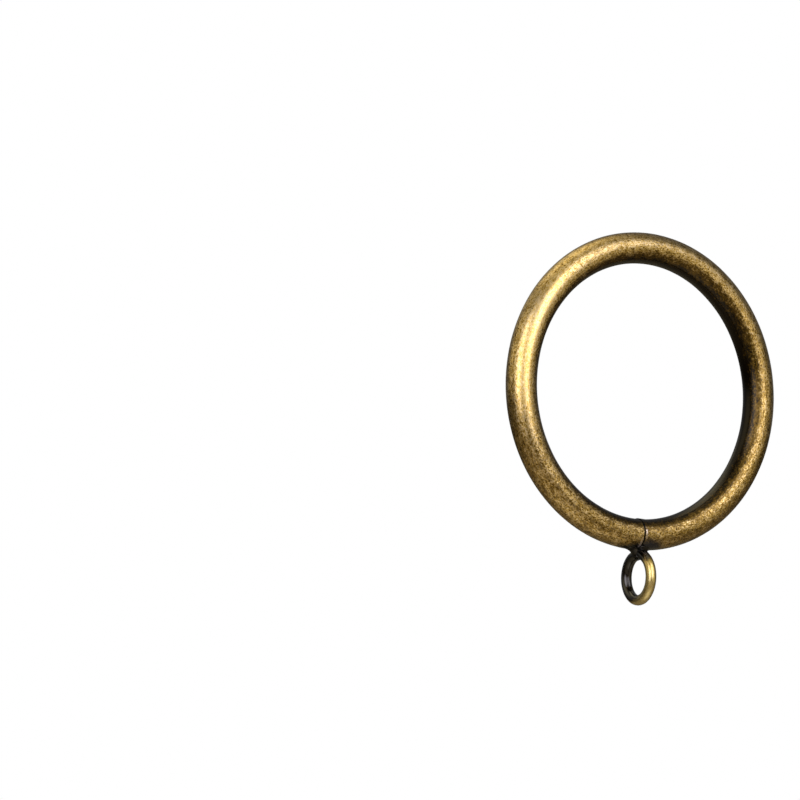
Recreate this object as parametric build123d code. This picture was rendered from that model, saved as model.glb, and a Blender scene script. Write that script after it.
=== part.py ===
from build123d import *
import os
from math import degrees

# Curtain ring with a fixed eyelet. A round steel bar is bent into a ring, and its two ends butt together
# at the bottom. A small eye of bent wire hangs under that joint, turned square to the ring, and a weld
# bead holds them. Frame: the origin is the centre of the ring, +Y runs along its axis, +Z is up.
# Millimetres.

# The bar that makes the ring
RING_HOLE_DIAMETER = 50.0  # clear opening
BAR_DIAMETER = 6.0
BAR_JOINT_GAP = 0.2  # between the two butted ends
BAR_END_CHAMFER = 0.3  # tumbled outer edge of each end

# The wire that makes the eyelet
EYE_HOLE_DIAMETER = 6.8  # clear opening for the curtain hook
WIRE_DIAMETER = 2.1
WIRE_END_GAP = 0.5  # between the two cut ends, at the top of the loop

# The weld that joins them
WELD_SET_DOWN = 0.3  # how far the wire is pressed into the bar's line
WELD_LEG = 1.3  # height and reach of the bead, and the radius of its hollow face
WELD_COVER = 0.15  # weld metal over the wire at the bead's lower end

# Places that follow from those sizes
BEND_RADIUS = (RING_HOLE_DIAMETER + BAR_DIAMETER) / 2
RING_BOTTOM = -(BEND_RADIUS + BAR_DIAMETER / 2)
EYE_RADIUS = (EYE_HOLE_DIAMETER + WIRE_DIAMETER) / 2
EYE_CENTRE = RING_BOTTOM + WELD_SET_DOWN - WIRE_DIAMETER / 2 - EYE_RADIUS
WELD_NECK_RADIUS = WIRE_DIAMETER / 2 + WELD_COVER
WELD_FOOT_RADIUS = WELD_NECK_RADIUS + WELD_LEG
WELD_END = RING_BOTTOM - WELD_LEG

# Turns a loop that was bent from its far side, so that its gap comes to the weld
HALF_TURN = 180


def bar_disc():
    """A disc on the bar's centre line, square to the bend, at the top of the ring."""
    return Plane.YZ * Pos(0, BEND_RADIUS) * Circle(BAR_DIAMETER / 2)


def closed_ring():
    """The ring as if its bar were endless. The eyelet and the bead seat on its surface."""
    return revolve(bar_disc(), Axis.Y)


def wire_disc():
    """A disc on the wire's centre line, square to the bend, at the bottom of the eye."""
    return Plane.XZ * Pos(0, -EYE_RADIUS) * Circle(WIRE_DIAMETER / 2)


def closed_eye():
    """The eye as if its wire were endless."""
    return Pos(0, 0, EYE_CENTRE) * revolve(wire_disc(), Axis.X)


def open_eye():
    """The eye as it is bent, with cut ends that face each other at the top."""
    gap_angle = degrees(WIRE_END_GAP / EYE_RADIUS)
    loop = revolve(wire_disc(), Axis.X, 360 - gap_angle)
    return Pos(0, 0, EYE_CENTRE) * Rot(HALF_TURN + gap_angle / 2, 0, 0) * loop


def ring():
    """The bent bar, open by the joint gap at the bottom, with chamfered ends."""
    gap_angle = degrees(BAR_JOINT_GAP / BEND_RADIUS)
    bar = revolve(bar_disc(), Axis.Y, 360 - gap_angle)
    cut_ends = bar.faces().filter_by(GeomType.PLANE)
    bar = chamfer(cut_ends.edges(), BAR_END_CHAMFER)
    return Rot(0, HALF_TURN + gap_angle / 2, 0) * bar


def eyelet():
    """The bent wire, pressed to the bar's own curve where it is welded."""
    return open_eye() - closed_ring()


def weld_bead():
    """A trumpet of weld metal round the eyelet's seat: wide on the bar, hollow-sided, narrow on the wire."""
    outline = Polyline(
        (WELD_NECK_RADIUS, WELD_END),
        (0, WELD_END),
        (0, -BEND_RADIUS),
        (WELD_FOOT_RADIUS, -BEND_RADIUS),
        (WELD_FOOT_RADIUS, RING_BOTTOM),
    )
    hollow = RadiusArc((WELD_FOOT_RADIUS, RING_BOTTOM), (WELD_NECK_RADIUS, WELD_END), WELD_LEG)
    blank = revolve(Plane.XZ * make_face(outline + hollow), Axis.Z)
    return blank - closed_ring() - closed_eye()


def main():
    os.makedirs("parts", exist_ok=True)
    for piece in (ring, eyelet, weld_bead):
        export_step(piece(), f"parts/{piece.__name__}.step")


main()
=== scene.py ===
import math

import bmesh
import bpy
from mathutils import Matrix, Vector, noise


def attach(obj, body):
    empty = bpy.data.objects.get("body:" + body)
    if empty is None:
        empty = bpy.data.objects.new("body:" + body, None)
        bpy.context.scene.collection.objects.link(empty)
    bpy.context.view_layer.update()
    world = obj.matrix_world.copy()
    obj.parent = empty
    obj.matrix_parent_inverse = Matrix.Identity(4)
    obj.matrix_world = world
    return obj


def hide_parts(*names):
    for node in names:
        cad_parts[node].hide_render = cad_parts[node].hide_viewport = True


# A curtain ring of bent bar, with a small wire eyelet welded under its joint, in an antique brass finish.
# The ring is bent about Y, the eyelet about X. Up is Z. Lengths are metres.

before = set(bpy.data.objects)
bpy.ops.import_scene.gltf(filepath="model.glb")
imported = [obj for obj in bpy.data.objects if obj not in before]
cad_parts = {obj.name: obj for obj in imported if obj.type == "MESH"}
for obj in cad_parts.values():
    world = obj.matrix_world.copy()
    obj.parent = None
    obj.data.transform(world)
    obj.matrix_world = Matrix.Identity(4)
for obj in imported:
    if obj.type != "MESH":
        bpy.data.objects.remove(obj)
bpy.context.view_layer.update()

MM = 0.001

# The bent bar, its two ends butted a little to one side of the middle
BEND_RADIUS = 28.0 * MM
BAR_RADIUS = 3.05 * MM
JOINT_GAP = 0.005 * MM
JOINT_ASIDE = 1.09 * MM

# The wire eye
EYE_BEND_RADIUS = 4.45 * MM
WIRE_RADIUS = 1.05 * MM
WIRE_END_GAP = 0.5 * MM
EYE_CENTRE = -36.2 * MM

# The weld between them: how far it goes along the bar and across it, its radius on the wire, its lower end
WELD_REACH = 2.6 * MM
WELD_WIDTH = 1.75 * MM
WELD_NECK = 1.25 * MM
WELD_END = -32.4 * MM

# The eye is set by hand before it is welded, so it sits a little askew
HAND_OFFSET = -0.57 * MM
HAND_DROP = -0.11 * MM
HAND_TURN = math.radians(-2.0)


# Small helpers for node trees


def feed(tree, socket, value):
    """Joins an output to an input, or sets the input to a plain value."""
    if isinstance(value, bpy.types.NodeSocket):
        tree.links.new(value, socket)
    else:
        socket.default_value = value


def calc(tree, operation, *values, clamp=False):
    """One step of arithmetic on numbers."""
    step = tree.nodes.new("ShaderNodeMath")
    step.operation = operation
    step.use_clamp = clamp
    for socket, value in zip(step.inputs, values):
        feed(tree, socket, value)
    return step.outputs[0]


def vector_calc(tree, operation, *values):
    """One step of arithmetic on vectors."""
    step = tree.nodes.new("ShaderNodeVectorMath")
    step.operation = operation
    for socket, value in zip(step.inputs, values):
        feed(tree, socket, value)
    if operation in ("LENGTH", "DOT_PRODUCT"):
        return step.outputs["Value"]
    return step.outputs["Vector"]


def scaled(tree, vector, factor):
    """A vector made longer or shorter."""
    step = tree.nodes.new("ShaderNodeVectorMath")
    step.operation = "SCALE"
    feed(tree, step.inputs[0], vector)
    feed(tree, step.inputs["Scale"], factor)
    return step.outputs["Vector"]


def ramp_between(tree, value, low, high, start=0.0, end=1.0, smooth=True):
    """Goes from start to end while the value goes from low to high."""
    step = tree.nodes.new("ShaderNodeMapRange")
    step.interpolation_type = "SMOOTHSTEP" if smooth else "LINEAR"
    step.clamp = True
    for name, number in (
        ("Value", value),
        ("From Min", low),
        ("From Max", high),
        ("To Min", start),
        ("To Max", end),
    ):
        feed(tree, step.inputs[name], number)
    return step.outputs["Result"]


def parts_of(tree, vector):
    """The x, y and z of a vector."""
    step = tree.nodes.new("ShaderNodeSeparateXYZ")
    feed(tree, step.inputs[0], vector)
    return step.outputs


def joined(tree, x, y, z):
    """A vector from three numbers."""
    step = tree.nodes.new("ShaderNodeCombineXYZ")
    for socket, value in zip(step.inputs, (x, y, z)):
        feed(tree, socket, value)
    return step.outputs[0]


# Bent bars

# Each rounded end takes this share of a bar's points, over this many times its rounding
END_SHARE = 0.02
END_ZONE = 1.5
RIPPLE_DETAIL = 1.5
MERGE_DISTANCE = 1e-7


def bent_bar_tree():
    """Bends a round bar into an open loop about Y, its joint at the bottom, with rounded ends."""
    tree = bpy.data.node_groups.new("bent round bar", "GeometryNodeTree")
    sizes = {}
    for name, kind, value in (
        ("Bend Radius", "NodeSocketFloat", 0.028),
        ("Bar Radius", "NodeSocketFloat", 0.003),
        ("Joint Gap", "NodeSocketFloat", 0.0002),
        ("End Rounding", "NodeSocketFloat", 0.0003),
        ("First Step", "NodeSocketFloat", 0.0),
        ("Last Step", "NodeSocketFloat", 0.0),
        ("Step Length", "NodeSocketFloat", 0.002),
        ("Ripple Depth", "NodeSocketFloat", 0.00002),
        ("Ripple Length", "NodeSocketFloat", 0.006),
        ("Sections", "NodeSocketInt", 700),
        ("Sides", "NodeSocketInt", 64),
        ("Turn", "NodeSocketFloat", 0.0),
        ("Finish", "NodeSocketMaterial", None),
    ):
        socket = tree.interface.new_socket(name, in_out="INPUT", socket_type=kind)
        if value is not None:
            socket.default_value = value
        sizes[name] = socket.identifier
    tree.interface.new_socket("Bar", in_out="OUTPUT", socket_type="NodeSocketGeometry")
    given = tree.nodes.new("NodeGroupInput").outputs

    # A line of points, crowded at both ends where the edges are rounded
    line = tree.nodes.new("GeometryNodeMeshLine")
    line.mode = "END_POINTS"
    feed(tree, line.inputs["Count"], given["Sections"])
    feed(tree, line.inputs["Start Location"], (0.0, 0.0, 0.0))
    feed(tree, line.inputs["Offset"], (1.0, 0.0, 0.0))
    curve = tree.nodes.new("GeometryNodeMeshToCurve")
    feed(tree, curve.inputs["Mesh"], line.outputs["Mesh"])
    place = tree.nodes.new("GeometryNodeInputPosition").outputs[0]
    share = parts_of(tree, place)[0]
    full_turn = calc(tree, "MULTIPLY", given["Bend Radius"], math.tau)
    length = calc(tree, "SUBTRACT", full_turn, given["Joint Gap"])
    zone = calc(tree, "MULTIPLY", given["End Rounding"], END_ZONE)
    first = ramp_between(tree, share, 0.0, END_SHARE, smooth=False)
    middle = ramp_between(tree, share, END_SHARE, 1 - END_SHARE, smooth=False)
    last = ramp_between(tree, share, 1 - END_SHARE, 1.0, 1.0, 0.0, smooth=False)
    run = calc(tree, "MULTIPLY", zone, calc(tree, "MULTIPLY", first, first))
    long_run = calc(tree, "SUBTRACT", length, calc(tree, "MULTIPLY", zone, 2.0))
    run = calc(tree, "MULTIPLY_ADD", long_run, middle, run)
    last_run = calc(tree, "SUBTRACT", 1.0, calc(tree, "MULTIPLY", last, last))
    run = calc(tree, "ADD", run, calc(tree, "MULTIPLY", zone, last_run))

    # The line is bent round, and each end may step in towards the middle of the loop, or out
    past_joint = calc(tree, "MULTIPLY_ADD", given["Joint Gap"], 0.5, run)
    turn = calc(tree, "DIVIDE", past_joint, given["Bend Radius"])
    run_left = calc(tree, "SUBTRACT", length, run)
    first_step = ramp_between(tree, run, 0.0, given["Step Length"], given["First Step"], 0.0)
    last_step = ramp_between(tree, run_left, 0.0, given["Step Length"], given["Last Step"], 0.0)
    step_in = calc(tree, "ADD", first_step, last_step)
    bend = calc(tree, "SUBTRACT", given["Bend Radius"], step_in)
    bent = joined(
        tree,
        calc(tree, "MULTIPLY", calc(tree, "SINE", turn), calc(tree, "MULTIPLY", bend, -1.0)),
        0.0,
        calc(tree, "MULTIPLY", calc(tree, "COSINE", turn), calc(tree, "MULTIPLY", bend, -1.0)),
    )
    to_end = calc(tree, "MINIMUM", run, run_left)
    inset = calc(tree, "SUBTRACT", 1.0, calc(tree, "DIVIDE", to_end, given["End Rounding"]), clamp=True)
    round_off = calc(tree, "SQRT", calc(tree, "SUBTRACT", 1.0, calc(tree, "MULTIPLY", inset, inset)))
    lost = calc(tree, "MULTIPLY", given["End Rounding"], calc(tree, "SUBTRACT", 1.0, round_off))
    thickness = calc(tree, "SUBTRACT", 1.0, calc(tree, "DIVIDE", lost, given["Bar Radius"]))
    hold = tree.nodes.new("GeometryNodeSetCurveRadius")
    feed(tree, hold.inputs["Curve"], curve.outputs["Curve"])
    feed(tree, hold.inputs["Radius"], thickness)
    bend_it = tree.nodes.new("GeometryNodeSetPosition")
    feed(tree, bend_it.inputs["Geometry"], hold.outputs["Curve"])
    feed(tree, bend_it.inputs["Position"], bent)
    section = tree.nodes.new("GeometryNodeCurvePrimitiveCircle")
    feed(tree, section.inputs["Resolution"], given["Sides"])
    feed(tree, section.inputs["Radius"], given["Bar Radius"])
    sweep = tree.nodes.new("GeometryNodeCurveToMesh")
    feed(tree, sweep.inputs["Curve"], bend_it.outputs["Geometry"])
    feed(tree, sweep.inputs["Profile Curve"], section.outputs["Curve"])
    feed(tree, sweep.inputs["Fill Caps"], True)

    # A slight unevenness from bending and tumbling
    ripple = tree.nodes.new("ShaderNodeTexNoise")
    feed(tree, ripple.inputs["Vector"], tree.nodes.new("GeometryNodeInputPosition").outputs[0])
    feed(tree, ripple.inputs["Scale"], calc(tree, "DIVIDE", 1.0, given["Ripple Length"]))
    feed(tree, ripple.inputs["Detail"], RIPPLE_DETAIL)
    swell = calc(tree, "MULTIPLY", given["Ripple Depth"], 2.0)
    height = calc(tree, "MULTIPLY", calc(tree, "SUBTRACT", ripple.outputs[0], 0.5), swell)
    out_way = tree.nodes.new("GeometryNodeInputNormal").outputs[0]
    rough_up = tree.nodes.new("GeometryNodeSetPosition")
    feed(tree, rough_up.inputs["Geometry"], sweep.outputs["Mesh"])
    feed(tree, rough_up.inputs["Offset"], scaled(tree, out_way, height))

    put = tree.nodes.new("GeometryNodeTransform")
    feed(tree, put.inputs["Geometry"], rough_up.outputs["Geometry"])
    feed(tree, put.inputs["Rotation"], joined(tree, 0.0, 0.0, given["Turn"]))
    smooth = tree.nodes.new("GeometryNodeSetShadeSmooth")
    feed(tree, smooth.inputs["Geometry"], put.outputs["Geometry"])
    real = tree.nodes.new("GeometryNodeRealizeInstances")
    feed(tree, real.inputs["Geometry"], smooth.outputs["Geometry"])
    finish = tree.nodes.new("GeometryNodeSetMaterial")
    feed(tree, finish.inputs["Geometry"], real.outputs["Geometry"])
    feed(tree, finish.inputs["Material"], given["Finish"])
    result = tree.nodes.new("NodeGroupOutput")
    feed(tree, result.inputs["Bar"], finish.outputs["Geometry"])
    return tree, sizes


def bend_bar(name, tree, sizes, values):
    """Runs the tree with these sizes and keeps the result as a plain mesh."""
    piece = bpy.data.objects.new(name, bpy.data.meshes.new(name))
    bpy.context.scene.collection.objects.link(piece)
    bender = piece.modifiers.new("bend", "NODES")
    bender.node_group = tree
    for size, value in values.items():
        bender[sizes[size]] = value
    made = bpy.data.meshes.new_from_object(piece.evaluated_get(bpy.context.evaluated_depsgraph_get()))
    piece.modifiers.remove(bender)
    piece.data = made
    made.name = name
    body = bmesh.new()
    body.from_mesh(made)
    bmesh.ops.remove_doubles(body, verts=body.verts, dist=MERGE_DISTANCE)
    bmesh.ops.recalc_face_normals(body, faces=body.faces)
    body.to_mesh(made)
    body.free()
    return piece


# The weld bead

WELD_AROUND = 112
WELD_ROWS = 34
# Its outline on the bar has three slight bulges
BULGES = 3
BULGE_DEPTH = 0.03
BULGE_TURN = 0.6
# Rows that are sunk into the bar, narrower and higher by steps
SUNK_ROWS = 2
SUNK_TAPER = 0.12
SUNK_STEP = 0.3 * MM
# Rows that are tucked into the wire, narrower by steps, with their heights over the weld's end in millimetres
TUCK_TAPER = 0.22
TUCK_HEIGHTS = (-0.08, -0.05, 0.12)
# How it falls away from the bar, and its lumps by size and depth in millimetres, which grow over a few rows
FALL_POWER = 0.9
LUMP_GROWTH_ROWS = 6
SIDE_LUMPS = ((1.1, 0.07), (0.45, 0.02))
HEIGHT_LUMP = (1.0, 0.04)
HEIGHT_LUMP_SHIFT = Vector((0.01, 0, 0))


def bar_underside(x, y):
    """How high the bent bar's lower surface is over a point of the floor plan."""
    out = BEND_RADIUS + math.sqrt(max(BAR_RADIUS**2 - y**2, 0.0))
    return -math.sqrt(out**2 - x**2)


def lump(point, size, depth):
    """How far the lumps of that size and depth, in millimetres, push the weld out at a point."""
    return noise.noise(point / (size * MM)) * depth * MM


def weld_bead(finish):
    """A lumpy trumpet of weld metal, wide where it wets the bar and narrow where it runs onto the wire."""
    body = bmesh.new()
    rows = []
    for j in range(-SUNK_ROWS, WELD_ROWS + len(TUCK_HEIGHTS) + 1):
        row = []
        for i in range(WELD_AROUND):
            a = math.tau * i / WELD_AROUND
            way = Vector((math.cos(a), math.sin(a), 0.0))
            foot = WELD_WIDTH + (WELD_REACH - WELD_WIDTH) * way.x**2
            foot *= 1 + BULGE_DEPTH * math.sin(BULGES * a - BULGE_TURN)
            foot_z = bar_underside(foot * way.x, foot * way.y)
            if j < 0:
                # Sunk into the bar, out of sight
                point = way * (foot * (1 + SUNK_TAPER * j)) + Vector((0, 0, foot_z - SUNK_STEP * j))
            elif j <= WELD_ROWS:
                bow = math.pi / 2 * j / WELD_ROWS
                reach = foot + (WELD_NECK - foot) * math.sin(bow)
                fall = (1 - math.cos(bow)) ** FALL_POWER
                under = bar_underside(reach * way.x, reach * way.y)
                point = way * reach + Vector((0, 0, under + (WELD_END - under) * fall))
                fade = min(1.0, j / LUMP_GROWTH_ROWS)
                point += way * fade * sum(lump(point, *lumps) for lumps in SIDE_LUMPS)
                point.z += fade * lump(point + HEIGHT_LUMP_SHIFT, *HEIGHT_LUMP)
            else:
                # Tucked into the wire, out of sight
                tuck = j - WELD_ROWS
                height = WELD_END + TUCK_HEIGHTS[tuck - 1] * MM
                point = way * (WELD_NECK * (1 - TUCK_TAPER * tuck)) + Vector((0, 0, height))
            row.append(body.verts.new(point))
        rows.append(row)
    for upper, lower in zip(rows, rows[1:]):
        for i in range(WELD_AROUND):
            k = (i + 1) % WELD_AROUND
            body.faces.new((upper[i], upper[k], lower[k], lower[i]))
    body.faces.new(rows[0])
    body.faces.new(rows[-1])
    bmesh.ops.recalc_face_normals(body, faces=body.faces)
    for face in body.faces:
        face.smooth = True
    mesh = bpy.data.meshes.new("weld metal")
    body.to_mesh(mesh)
    body.free()
    mesh.materials.append(finish)
    piece = bpy.data.objects.new("weld_metal", mesh)
    bpy.context.scene.collection.objects.link(piece)
    return piece


# Finishes


def new_finish(name):
    """An empty material with its shader and its output."""
    finish = bpy.data.materials.new(name)
    finish.use_nodes = True
    tree = finish.node_tree
    tree.nodes.clear()
    shader = tree.nodes.new("ShaderNodeBsdfPrincipled")
    result = tree.nodes.new("ShaderNodeOutputMaterial")
    tree.links.new(shader.outputs[0], result.inputs["Surface"])
    return finish, tree, shader


def grain(tree, place, scale, detail, roughness):
    """Cloudy noise of that many waves to a millimetre."""
    cloud = tree.nodes.new("ShaderNodeTexNoise")
    feed(tree, cloud.inputs["Vector"], place)
    for name, value in (("Scale", scale), ("Detail", detail), ("Roughness", roughness)):
        cloud.inputs[name].default_value = value
    return cloud.outputs[0]


# Sockets of a Mix node that mixes colours
MIX_SHARE, MIX_UNDER, MIX_OVER, MIX_RESULT = 0, 6, 7, 2


def blend_colours(tree, share, under, over):
    """The second colour laid over the first."""
    mix = tree.nodes.new("ShaderNodeMix")
    mix.data_type = "RGBA"
    feed(tree, mix.inputs[MIX_SHARE], share)
    for socket, value in ((mix.inputs[MIX_UNDER], under), (mix.inputs[MIX_OVER], over)):
        feed(tree, socket, value if isinstance(value, bpy.types.NodeSocket) else (*value, 1.0))
    return mix.outputs[MIX_RESULT]


# Colours: the blackening, the golds of the ring and of the eyelet, the heat marks, the joint's bare lips with
# their painted highlight, the joint and the weld
BLACKENED = (0.013, 0.008, 0.003)
BROWN = (0.121, 0.068, 0.008)
BRONZE = (0.332, 0.198, 0.037)
BRASS = (0.579, 0.385, 0.104)
PALE_BRASS = (0.753, 0.562, 0.289)
LEMON_BRONZE = (0.328, 0.206, 0.033)
LEMON_BRASS = (0.566, 0.402, 0.092)
PALE_LEMON = (0.745, 0.600, 0.260)
SCORCHED = (0.016, 0.013, 0.011)
HEAT_BLUE = (0.040, 0.040, 0.052)
BARE_LIP_AND_HIGHLIGHT = (0.835, 0.706, 0.64)
JOINT_BLACK = (0.006, 0.005, 0.004)
WELD_BLACK = (0.012, 0.011, 0.011)
WELD_GREY = (0.050, 0.042, 0.036)
WELD_BRIGHT = (0.20, 0.14, 0.07)


def round_the_bar(tree, centre, across, away, axis, bend, bar):
    """A place on a bent bar, in millimetres: the point, along the bar, and round it.

    The last number is how far out it lies, from -1 inside the loop to 1 outside.
    """
    place = tree.nodes.new("ShaderNodeTexCoord").outputs["Object"]
    place = scaled(tree, vector_calc(tree, "SUBTRACT", place, centre), 1 / MM)
    aside = vector_calc(tree, "DOT_PRODUCT", place, across)
    off = vector_calc(tree, "DOT_PRODUCT", place, away)
    height = vector_calc(tree, "DOT_PRODUCT", place, axis)
    out = calc(tree, "SQRT", calc(tree, "MULTIPLY_ADD", aside, aside, calc(tree, "MULTIPLY", off, off)))
    rise = calc(tree, "SUBTRACT", out, bend / MM)
    along = calc(tree, "MULTIPLY", calc(tree, "ARCTAN2", aside, off), bend / MM)
    about = calc(tree, "MULTIPLY", calc(tree, "ARCTAN2", height, rise), bar / MM)
    return place, along, about, calc(tree, "DIVIDE", rise, bar / MM)


def near(tree, place, centre, stretch, reach, ragged, soft):
    """1 close to a point, 0 away from it, with a ragged border."""
    off = vector_calc(tree, "MULTIPLY", vector_calc(tree, "SUBTRACT", place, centre), stretch)
    far = calc(tree, "ADD", vector_calc(tree, "LENGTH", off), ragged)
    return ramp_between(tree, far, reach - soft, reach + soft, 1.0, 0.0)


# Layers of grain: waves to a millimetre, detail, roughness, and a shift so that no two of them line up
GRAIN_LAYERS = {
    "mottle": (0.9, 4.0, 0.6, (0.0, 0.0, 0.0)),
    "blotch": (1.5, 3.0, 0.6, (93.0, 31.0, 67.0)),
    "speck": (2.9, 2.0, 0.6, (51.0, 17.0, 9.0)),
    "dust": (5.5, 1.0, 0.5, (7.0, 71.0, 3.0)),
}
# Below 1 the grain is drawn out along the bar. The streaks are also finer round it
GRAIN_ALONG = 0.65
STREAK_ALONG = 0.07
STREAK_ROUND = 1.6
STREAK_SHIFT = 5.0
# The clouds are wide and the same every way
CLOUD_WAVES = 0.16
CLOUD_SHIFT = (40.0, 11.0, 23.0)

# The rubbing, by how far out a face lies: half the width of its border, how far below it the black turns
# brown, and how far above it the gold is palest
RUB_BORDER = 0.22
BROWN_STARTS = 0.55
BROWN_ENDS = 0.1
PALEST = 0.6

# The tones at that border and at the palest, and the tones of the three golds
TONES = (0.43, 0.60)
SHADE_STOPS = (0.28, 0.55, 0.85)

# The smooth stretch: where it starts to fade and where it ends, in lengths of it, and the band that it takes
# up round the bar, by how far out that lies
SMOOTH_MIDDLE = 0.6
SMOOTH_END = 1.3
SMOOTH_BAND_AT = 0.35
SMOOTH_BAND = (0.3, 0.65)

# How strong the grain is at the middle of the loop, off that stretch
GRAIN_STRENGTH = 1.36

# Brown dots that the rubbing left: where they start and are full, how brown, how much rarer where the tone
# is paler, and how much duller they are
DOT_BORDER = (0.53, 0.66)
DOT_STRENGTH = 0.5
DOT_FADE = -0.25
DOT_DULLNESS = 0.08

# The joint, in millimetres from each bar end: black at first, then a lip rubbed bare and painted pale as a
# highlight
JOINT_EDGE = (0.17, 0.25)
LIP_STARTS = (0.26, 0.34)
LIP_ENDS = (0.44, 0.76)
# One end's lip is rubbed bare and painted bright inside the loop, the other's outside it, a painted highlight
# where each end catches the light, and both only where the face is rubbed
UPPER_LIP = (-0.1, 0.45)
LOWER_LIP = (0.1, 0.6)
LOWER_LIP_SHARE = 0.7
LIP_RUB_STARTS = 0.1
LIP_RUB_ENDS = 0.2


def antique_brass(
    name, loop, gap, shades, fine, contrast, depth, dull, lacquer,
    relieved, lean, fade, coarser, buffed, marks, lip_wear_and_highlight,
):
    """Brass plate, blackened, rubbed back to gold where a buff reaches, and lacquered.

    loop and gap say how the bar is bent, and shades are its golds from dark to pale. fine, contrast and depth
    are the grain's, depth in millimetres. dull is the metal's roughness. lacquer is its weight, roughness and
    IOR. relieved is how far out a face lies where the rubbing starts. lean is which way the buff leans, from
    where to where, and what that adds at both. fade is how the tone grows along the axes, partly the metal's
    own tone and partly painted light and shade. coarser is how the grain grows along them.
    buffed is the middle and length of the smoothest stretch. marks are heat marks: centre, stretch, reach,
    softness, colour, and the bar end they are on, or 0 for both. The last is how bare the joint's lips are,
    and how bright a painted highlight they carry.
    """
    finish, tree, shader = new_finish(name)
    place, along, about, side = round_the_bar(tree, **loop)

    # Grain that runs a little along the bar, as rubbing leaves it
    flat = joined(tree, calc(tree, "MULTIPLY", along, GRAIN_ALONG), about, 0.0)
    layers = {}
    for layer, (waves, detail, roughness, shift) in GRAIN_LAYERS.items():
        layers[layer] = grain(tree, vector_calc(tree, "ADD", flat, shift), waves * fine, detail, roughness)
    clouded = vector_calc(tree, "ADD", place, CLOUD_SHIFT)
    layers["cloud"] = grain(tree, clouded, CLOUD_WAVES * fine, detail=3.0, roughness=0.6)
    streak_along = calc(tree, "MULTIPLY", along, STREAK_ALONG)
    drawn = joined(tree, streak_along, calc(tree, "MULTIPLY", about, STREAK_ROUND), STREAK_SHIFT)
    layers["streak"] = grain(tree, drawn, fine, detail=2.0, roughness=0.6)

    def swayed(value, **sizes):
        """A value that layers of grain push up and down, each by its own size."""
        for layer, size in sizes.items():
            value = calc(tree, "MULTIPLY_ADD", calc(tree, "SUBTRACT", layers[layer], 0.5), size, value)
        return value

    # How far the blackening is rubbed off: not at all inside the loop, nearly all on the sides and outside
    lean_way, *lean_range = lean
    leaning = ramp_between(tree, vector_calc(tree, "DOT_PRODUCT", place, lean_way), *lean_range)
    reached = calc(tree, "ADD", side, leaning)
    ragged = swayed(reached, mottle=0.9, speck=0.9)
    rubbed = ramp_between(tree, ragged, relieved - RUB_BORDER, relieved + RUB_BORDER)
    tone = ramp_between(tree, reached, relieved, relieved + PALEST, *TONES)
    # The tone slope is partly painted light and shade. The ring is paler to its upper left, where it is lit
    # most, and darker to the right and bottom, where the rod shades it. The eyelet is paler towards its
    # bottom, lit from below.
    tone_and_painted_light = vector_calc(tree, "DOT_PRODUCT", place, fade)
    tone = swayed(calc(tree, "ADD", tone_and_painted_light, tone), cloud=0.4 * contrast)
    speckled = swayed(0.0, speck=2.0, dust=1.9, mottle=0.6, streak=0.3)

    # The grain is rubbed smooth where the buff stayed longest
    stretch_at, stretch_length = buffed
    smooth_range = (SMOOTH_MIDDLE * stretch_length, SMOOTH_END * stretch_length)
    off_stretch = calc(tree, "ABSOLUTE", calc(tree, "SUBTRACT", along, stretch_at))
    smooth = ramp_between(tree, off_stretch, *smooth_range, 1.0, 0.0)
    off_band = calc(tree, "ABSOLUTE", calc(tree, "SUBTRACT", side, SMOOTH_BAND_AT))
    smooth = calc(tree, "MULTIPLY", smooth, ramp_between(tree, off_band, *SMOOTH_BAND, 1.0, 0.0))
    rough_grain = calc(tree, "SUBTRACT", vector_calc(tree, "DOT_PRODUCT", place, coarser), smooth)
    rough_grain = calc(tree, "MULTIPLY", calc(tree, "ADD", rough_grain, GRAIN_STRENGTH), contrast)
    tone = calc(tree, "MULTIPLY_ADD", speckled, rough_grain, tone)

    # Shades of gold with brown dots, over the black and brown that the rubbing left
    toned = tree.nodes.new("ShaderNodeValToRGB")
    stops = toned.color_ramp.elements
    stops.remove(stops[1])
    stops[0].position = 0.0
    stops[0].color = (*BROWN, 1.0)
    for stop, shade in zip(SHADE_STOPS, shades):
        stops.new(stop).color = (*shade, 1.0)
    feed(tree, toned.inputs[0], tone)
    dots = calc(tree, "MULTIPLY_ADD", tone_and_painted_light, DOT_FADE, swayed(layers["blotch"], speck=0.8, dust=0.5))
    dotted = calc(tree, "MULTIPLY", ramp_between(tree, dots, *DOT_BORDER, 0.0, DOT_STRENGTH), rough_grain)
    gold = blend_colours(tree, dotted, toned.outputs[0], BROWN)
    browned = ramp_between(tree, ragged, relieved - BROWN_STARTS, relieved - BROWN_ENDS)
    dark = blend_colours(tree, browned, BLACKENED, BROWN)
    colour = blend_colours(tree, rubbed, dark, gold)

    # Heat and scale by the weld, on one bar end or both
    border = swayed(0.0, speck=0.8, mottle=1.6)
    for centre, stretch, reach, soft, stain, end in marks:
        mark = near(tree, place, centre, stretch, reach, border, soft)
        if end:
            mark = calc(tree, "MULTIPLY", mark, ramp_between(tree, along, -end, end))
        colour = blend_colours(tree, mark, colour, stain)

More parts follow.
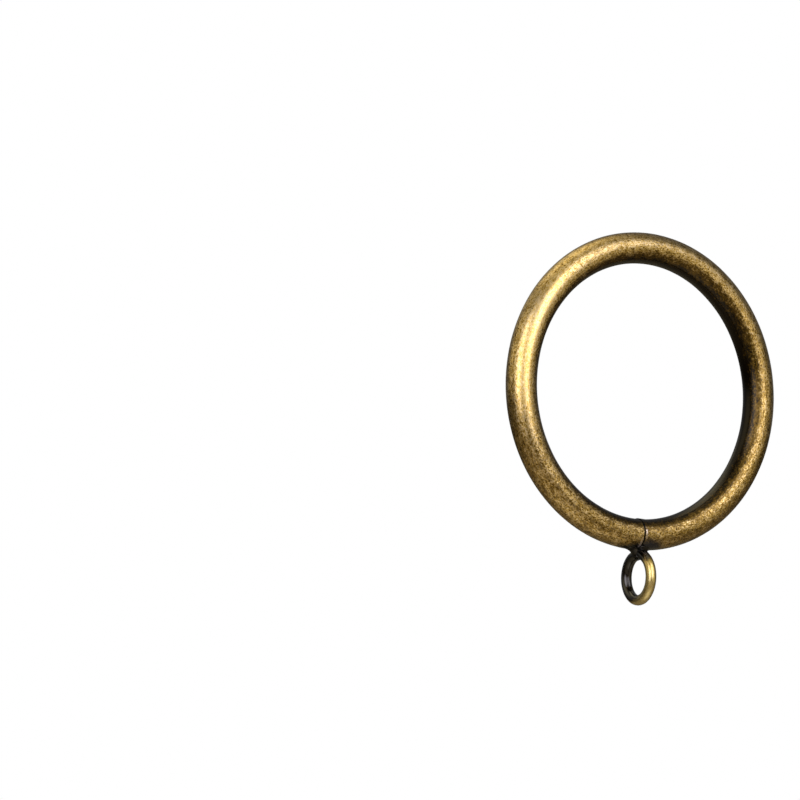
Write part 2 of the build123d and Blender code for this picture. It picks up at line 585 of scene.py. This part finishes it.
    # Lips rubbed bare on both sides of the joint, partly a painted highlight where they catch the light, and
    # black in it
    half_length = math.pi * loop["bend"] / MM - gap / 2 / MM
    from_joint = calc(tree, "SUBTRACT", half_length, calc(tree, "ABSOLUTE", along))
    lip = ramp_between(tree, swayed(from_joint, speck=0.3), *LIP_STARTS)
    lip_fade = ramp_between(tree, swayed(from_joint, mottle=0.5), *LIP_ENDS, 1.0, 0.0)
    lip = calc(tree, "MULTIPLY", lip, lip_fade)
    lip_side = swayed(side, mottle=1.2)
    upper = ramp_between(tree, lip_side, *UPPER_LIP, lip_wear_and_highlight, 0.0)
    lower = ramp_between(tree, lip_side, *LOWER_LIP, 0.0, LOWER_LIP_SHARE * lip_wear_and_highlight)
    lip = calc(tree, "MULTIPLY", lip, ramp_between(tree, along, -1.0, 1.0, lower, upper))
    lip_rubbed = ramp_between(tree, ragged, relieved - LIP_RUB_STARTS, relieved + LIP_RUB_ENDS)
    colour = blend_colours(tree, calc(tree, "MULTIPLY", lip, lip_rubbed), colour, BARE_LIP_AND_HIGHLIGHT)
    in_joint = ramp_between(tree, from_joint, *JOINT_EDGE, 1.0, 0.0)
    colour = blend_colours(tree, in_joint, colour, JOINT_BLACK)
    tree.links.new(colour, shader.inputs["Base Color"])

    rough = swayed(dull, mottle=0.16, speck=0.12)
    tree.links.new(calc(tree, "MULTIPLY_ADD", dotted, DOT_DULLNESS, rough), shader.inputs["Roughness"])
    shader.inputs["Metallic"].default_value = 1.0
    for socket, value in zip(("Coat Weight", "Coat Roughness", "Coat IOR"), lacquer):
        shader.inputs[socket].default_value = value

    bump = tree.nodes.new("ShaderNodeBump")
    bump.inputs["Strength"].default_value = 1.0
    bump.inputs["Distance"].default_value = depth * MM
    pits = swayed(0.0, streak=0.5, mottle=0.7, speck=1.0, dust=0.35)
    tree.links.new(calc(tree, "MULTIPLY", pits, rough_grain), bump.inputs["Height"])
    tree.links.new(bump.outputs[0], shader.inputs["Normal"])
    return finish


# The weld's crust and its bright points: waves to a millimetre, and where each starts and is full
CRUST_WAVES = 1.6
CRUST_GREY = (0.35, 0.7)
POINT_WAVES = 5.0
POINT_BRIGHT = (0.64, 0.76)
CRUST_DULLNESS = 0.3
WELD_DULLNESS = 0.2


def weld_finish():
    """Weld metal, blackened with the rest and hardly rubbed, with a few bright points."""
    finish, tree, shader = new_finish("blackened weld metal")
    place = scaled(tree, tree.nodes.new("ShaderNodeTexCoord").outputs["Object"], 1 / MM)
    crust = grain(tree, place, CRUST_WAVES, detail=4.0, roughness=0.6)
    points = grain(tree, place, POINT_WAVES, detail=2.0, roughness=0.6)
    colour = blend_colours(tree, ramp_between(tree, crust, *CRUST_GREY), WELD_BLACK, WELD_GREY)
    colour = blend_colours(tree, ramp_between(tree, points, *POINT_BRIGHT), colour, WELD_BRIGHT)
    tree.links.new(colour, shader.inputs["Base Color"])
    shader.inputs["Metallic"].default_value = 1.0
    rough = calc(tree, "MULTIPLY_ADD", crust, CRUST_DULLNESS, WELD_DULLNESS)
    tree.links.new(rough, shader.inputs["Roughness"])
    shader.inputs["Coat Weight"].default_value = 0.4
    shader.inputs["Coat Roughness"].default_value = 0.15
    bump = tree.nodes.new("ShaderNodeBump")
    bump.inputs["Strength"].default_value = 0.5
    bump.inputs["Distance"].default_value = 0.05 * MM
    tree.links.new(crust, bump.inputs["Height"])
    tree.links.new(bump.outputs[0], shader.inputs["Normal"])
    return finish


# The pieces

# How each bar is bent: its middle, the ways across it, away from its joint and along its axis, and its radii
joint_turn = JOINT_ASIDE / BEND_RADIUS
RING_LOOP = dict(
    centre=(0.0, 0.0, 0.0),
    across=(math.cos(joint_turn), 0.0, -math.sin(joint_turn)),
    away=(math.sin(joint_turn), 0.0, math.cos(joint_turn)),
    axis=(0.0, 1.0, 0.0),
    bend=BEND_RADIUS,
    bar=BAR_RADIUS,
)
EYE_LOOP = dict(
    centre=(HAND_OFFSET, 0.0, EYE_CENTRE + HAND_DROP),
    across=(-math.sin(HAND_TURN), math.cos(HAND_TURN), 0.0),
    away=(0.0, 0.0, -1.0),
    axis=(math.cos(HAND_TURN), math.sin(HAND_TURN), 0.0),
    bend=EYE_BEND_RADIUS,
    bar=WIRE_RADIUS,
)
ring_finish = antique_brass(
    "antique brass on the ring",
    RING_LOOP,
    JOINT_GAP,
    shades=(BRONZE, BRASS, PALE_BRASS),
    fine=1.0,
    contrast=1.0,
    depth=0.034,
    dull=0.29,
    lacquer=(1.0, 0.11, 1.22),
    relieved=-0.34,
    lean=((-1.0, 0.0, 0.1), 10.0, 25.0, 0.0, 0.28),
    # Tone slope, partly painted shade: darker to the right and bottom, where the rod shades the ring, and
    # paler to its lit upper left
    fade=(-0.0019, 0.0, 0.0023),
    coarser=(-0.0065, 0.0, -0.007),
    buffed=(-37.5, 16.0),
    marks=(
        ((-2.4, 0.0, -31.0), (0.8, 1.0, 0.9), 2.5, 0.7, SCORCHED, -1.0),
        ((0.6, -1.5, -31.1), (0.7, 0.9, 1.0), 2.3, 1.0, HEAT_BLUE, 1.0),
    ),
    # The joint's lips: bare metal, and partly a painted highlight
    lip_wear_and_highlight=0.95,
)
eye_finish = antique_brass(
    "antique brass on the eyelet",
    EYE_LOOP,
    WIRE_END_GAP,
    shades=(LEMON_BRONZE, LEMON_BRASS, PALE_LEMON),
    fine=1.3,
    contrast=0.3,
    depth=0.01,
    dull=0.31,
    lacquer=(1.0, 0.05, 1.6),
    relieved=0.0,
    lean=((0.0, -1.0, 0.0), -5.5, 5.5, -1.1, 1.1),
    # Tone slope, painted light: paler towards the bottom, where light comes up from below
    fade=(0.0, -0.012, -0.045),
    coarser=(0.0, 0.0, 0.0),
    buffed=(0.0, 1.0),
    marks=(((0.0, 0.0, 4.6), (0.35, 0.35, 1.0), 1.9, 0.6, SCORCHED, 0.0),),
    lip_wear_and_highlight=0.0,
)

bar_tree, bar_sizes = bent_bar_tree()
bent_ring = bend_bar("bent_ring", bar_tree, bar_sizes, {
    "Bend Radius": BEND_RADIUS,
    "Bar Radius": BAR_RADIUS,
    "Joint Gap": JOINT_GAP,
    "End Rounding": 0.7 * MM,
    "First Step": 0.0,
    "Last Step": 0.13 * MM,
    "Step Length": 2.2 * MM,
    "Ripple Depth": 0.03 * MM,
    "Ripple Length": 7.0 * MM,
    "Sections": 720,
    "Sides": 72,
    "Turn": 0.0,
    "Finish": ring_finish,
})
wire_eye = bend_bar("wire_eye", bar_tree, bar_sizes, {
    "Bend Radius": EYE_BEND_RADIUS,
    "Bar Radius": WIRE_RADIUS,
    "Joint Gap": WIRE_END_GAP,
    "End Rounding": 0.2 * MM,
    "First Step": 0.12 * MM,
    "Last Step": -0.28 * MM,
    "Step Length": 2.5 * MM,
    "Ripple Depth": 0.012 * MM,
    "Ripple Length": 2.5 * MM,
    "Sections": 260,
    "Sides": 48,
    "Turn": math.pi / 2,
    "Finish": eye_finish,
})
bent_ring.data.transform(Matrix.Rotation(joint_turn, 4, "Y"))
# The eye hangs from its gap, so it is turned over to bring the gap up to the weld
set_by_hand = Matrix.Translation((HAND_OFFSET, 0.0, HAND_DROP)) @ Matrix.Rotation(HAND_TURN, 4, "Z")
hung = set_by_hand @ Matrix.Translation((0.0, 0.0, EYE_CENTRE))
wire_eye.data.transform(hung @ Matrix.Rotation(math.pi, 4, "X"))
weld = weld_bead(weld_finish())
weld.data.transform(Matrix.Translation((HAND_OFFSET, 0.0, 0.0)))

for piece, node, slot in (
    (bent_ring, "ring", "ring_finish"),
    (wire_eye, "eyelet", "eyelet_finish"),
    (weld, "weld_bead", "weld_finish"),
):
    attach(piece, "root")
    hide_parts(node)


# Camera, at the photograph's angle: from the left, a little below, through a long lens

IMAGE_SIDE = 800
SENSOR = 36.0
DISTANCE = 2.0
PIXELS_PER_METRE = 5135.4
RING_AT = (640.7, 391.25)
VIEW_TURN = math.radians(-34.53)
VIEW_RISE = math.radians(-4.73)

offset_right = (RING_AT[0] - IMAGE_SIDE / 2) / PIXELS_PER_METRE
offset_up = (IMAGE_SIDE / 2 - RING_AT[1]) / PIXELS_PER_METRE
camera_turn = VIEW_TURN + math.atan(offset_right / DISTANCE)
camera_rise = VIEW_RISE + math.atan(offset_up / DISTANCE)


def looking_back(turn, rise):
    """The way from the object to an eye at that turn and rise."""
    return Vector((math.sin(turn) * math.cos(rise), -math.cos(turn) * math.cos(rise), math.sin(rise)))


back = looking_back(camera_turn, camera_rise)
right = Vector((0, 0, 1)).cross(back).normalized()
up = back.cross(right)
camera_data = bpy.data.cameras.new("camera")
camera_data.sensor_width = SENSOR
camera_data.lens = SENSOR * DISTANCE * PIXELS_PER_METRE / IMAGE_SIDE
camera_data.clip_start = 0.05
camera_data.clip_end = 50.0
camera = bpy.data.objects.new("camera", camera_data)
bpy.context.scene.collection.objects.link(camera)
stand = back * DISTANCE - right * offset_right - up * offset_up
turned = Matrix((right, up, back)).transposed().to_4x4()
camera.matrix_world = Matrix.Translation(stand) @ turned
bpy.context.scene.camera = camera


# Studio: soft boxes all round, a white backdrop behind, a pale floor well below

LAMP_COLOUR = (1.0, 0.985, 1.06)
FILL_COLOUR = (1.10, 0.985, 0.62)
BOUNCE_COLOUR = (1.05, 0.995, 0.83)
LAMP_DISTANCE = 1.2
BOUNCE_DISTANCE = 0.4
# How much of a lamp's width and of its height each soft edge takes
SIDE_FADE = 0.5
END_FADE = 0.35


def soft_box(name, turn, rise, width, height, strength, distance=LAMP_DISTANCE, colour=LAMP_COLOUR):
    """A lamp that faces the ring and fades to its edges. Turn and rise count from the view, in degrees."""
    way = looking_back(VIEW_TURN + math.radians(turn), VIEW_RISE + math.radians(rise))
    lamp = bpy.data.lights.new(name, "AREA")
    lamp.shape = "RECTANGLE"
    lamp.size = 2 * distance * math.tan(math.radians(width / 2))
    lamp.size_y = 2 * distance * math.tan(math.radians(height / 2))
    lamp.energy = strength * math.pi * lamp.size * lamp.size_y
    lamp.color = colour
    lamp.use_nodes = True
    tree = lamp.node_tree
    spot = parts_of(tree, tree.nodes.new("ShaderNodeNewGeometry").outputs["Parametric"])
    fade = 1.0
    for share, edge in ((spot[0], SIDE_FADE), (spot[1], END_FADE)):
        inset = calc(tree, "MINIMUM", share, calc(tree, "SUBTRACT", 1.0, share))
        fade = calc(tree, "MULTIPLY", fade, ramp_between(tree, inset, 0.0, edge))
    feed(tree, tree.nodes["Emission"].inputs["Strength"], fade)
    box = bpy.data.objects.new(name, lamp)
    bpy.context.scene.collection.objects.link(box)
    facing = way.to_track_quat("Z", "Y").to_matrix().to_4x4()
    box.matrix_world = Matrix.Translation(way * distance) @ facing
    box.visible_camera = False


# Turn, rise, width and height in degrees, then strength
soft_box("left box", -23, 20, 58, 66, 3.5)
soft_box("right box", 39, 27, 60, 74, 3.5)
soft_box("right wing", 71, 36, 48, 52, 1.35)
soft_box("front fill", 8, 18, 46, 48, 1.1)
soft_box("right fill", 85, -2, 32, 46, 0.55, colour=FILL_COLOUR)
soft_box("low fill", 61, 0, 50, 44, 0.37, colour=FILL_COLOUR)
soft_box("left fill", -78, 30, 72, 62, 0.7, colour=FILL_COLOUR)
soft_box("overhead", 20, 86, 80, 80, 0.55, colour=FILL_COLOUR)
soft_box("top box", -135, 72, 60, 60, 1.0, colour=FILL_COLOUR)
soft_box("rear fill", -140, 40, 46, 44, 0.35, colour=FILL_COLOUR)
soft_box("bounce card", 4, -68, 92, 56, 0.51, distance=BOUNCE_DISTANCE, colour=BOUNCE_COLOUR)

# The floor keeps the shadow close by, and pales to white further off
WHITE = (1.0, 1.0, 1.0, 1.0)
FLOOR_COLOUR = (0.32, 0.28, 0.20, 1.0)
FLOOR_REACH = 60.0
FLOOR_LEVEL = -0.45
FLOOR_PALES = (0.8, 3.0)
FLOOR_WHITENESS = (0.75, 1.0)

floor_mesh = bpy.data.meshes.new("floor")
corners = [
    (-FLOOR_REACH, -FLOOR_REACH, FLOOR_LEVEL),
    (FLOOR_REACH, -FLOOR_REACH, FLOOR_LEVEL),
    (FLOOR_REACH, FLOOR_REACH, FLOOR_LEVEL),
    (-FLOOR_REACH, FLOOR_REACH, FLOOR_LEVEL),
]
floor_mesh.from_pydata(corners, [], [(0, 1, 2, 3)])
floor = bpy.data.objects.new("floor", floor_mesh)
bpy.context.scene.collection.objects.link(floor)
pale = bpy.data.materials.new("pale floor")
pale.use_nodes = True
floor_tree = pale.node_tree
floor_tree.nodes.clear()
cover = floor_tree.nodes.new("ShaderNodeBsdfDiffuse")
cover.inputs["Color"].default_value = FLOOR_COLOUR
white = floor_tree.nodes.new("ShaderNodeEmission")
white.inputs["Color"].default_value = WHITE
seen = floor_tree.nodes.new("ShaderNodeLightPath").outputs["Is Camera Ray"]
both = floor_tree.nodes.new("ShaderNodeMixShader")
spot_on_floor = floor_tree.nodes.new("ShaderNodeTexCoord").outputs["Object"]
far_off = vector_calc(floor_tree, "LENGTH", spot_on_floor)
whitened = ramp_between(floor_tree, far_off, *FLOOR_PALES, *FLOOR_WHITENESS)
feed(floor_tree, both.inputs[0], calc(floor_tree, "MULTIPLY", seen, whitened))
floor_tree.links.new(cover.outputs[0], both.inputs[1])
floor_tree.links.new(white.outputs[0], both.inputs[2])
floor_out = floor_tree.nodes.new("ShaderNodeOutputMaterial")
floor_tree.links.new(both.outputs[0], floor_out.inputs["Surface"])
floor_mesh.materials.append(pale)

# The world is white to the camera, and in the metal where it mirrors the backdrop. Elsewhere it is dim
BACKDROP_ENDS = math.cos(math.radians(13))
BACKDROP_FULL = math.cos(math.radians(7))
ROOM_LIGHT = 0.12

world = bpy.data.worlds.new("studio")
bpy.context.scene.world = world
world.use_nodes = True
sky = world.node_tree
sky.nodes.clear()
way_out = sky.nodes.new("ShaderNodeTexCoord").outputs["Generated"]
behind = vector_calc(sky, "DOT_PRODUCT", way_out, tuple(-looking_back(VIEW_TURN, VIEW_RISE)))
backdrop = ramp_between(sky, behind, BACKDROP_ENDS, BACKDROP_FULL)
ray = sky.nodes.new("ShaderNodeLightPath").outputs
mirrored = calc(sky, "MAXIMUM", ray["Is Glossy Ray"], ray["Is Transmission Ray"])
shown = calc(sky, "MAXIMUM", ray["Is Camera Ray"], calc(sky, "MULTIPLY", mirrored, backdrop))
light = sky.nodes.new("ShaderNodeBackground")
feed(sky, light.inputs["Strength"], ramp_between(sky, shown, 0.0, 1.0, ROOM_LIGHT, 1.0, smooth=False))
light.inputs["Color"].default_value = WHITE
sky_out = sky.nodes.new("ShaderNodeOutputWorld")
sky.links.new(light.outputs[0], sky_out.inputs["Surface"])

bpy.context.scene.view_settings.view_transform = "Standard"
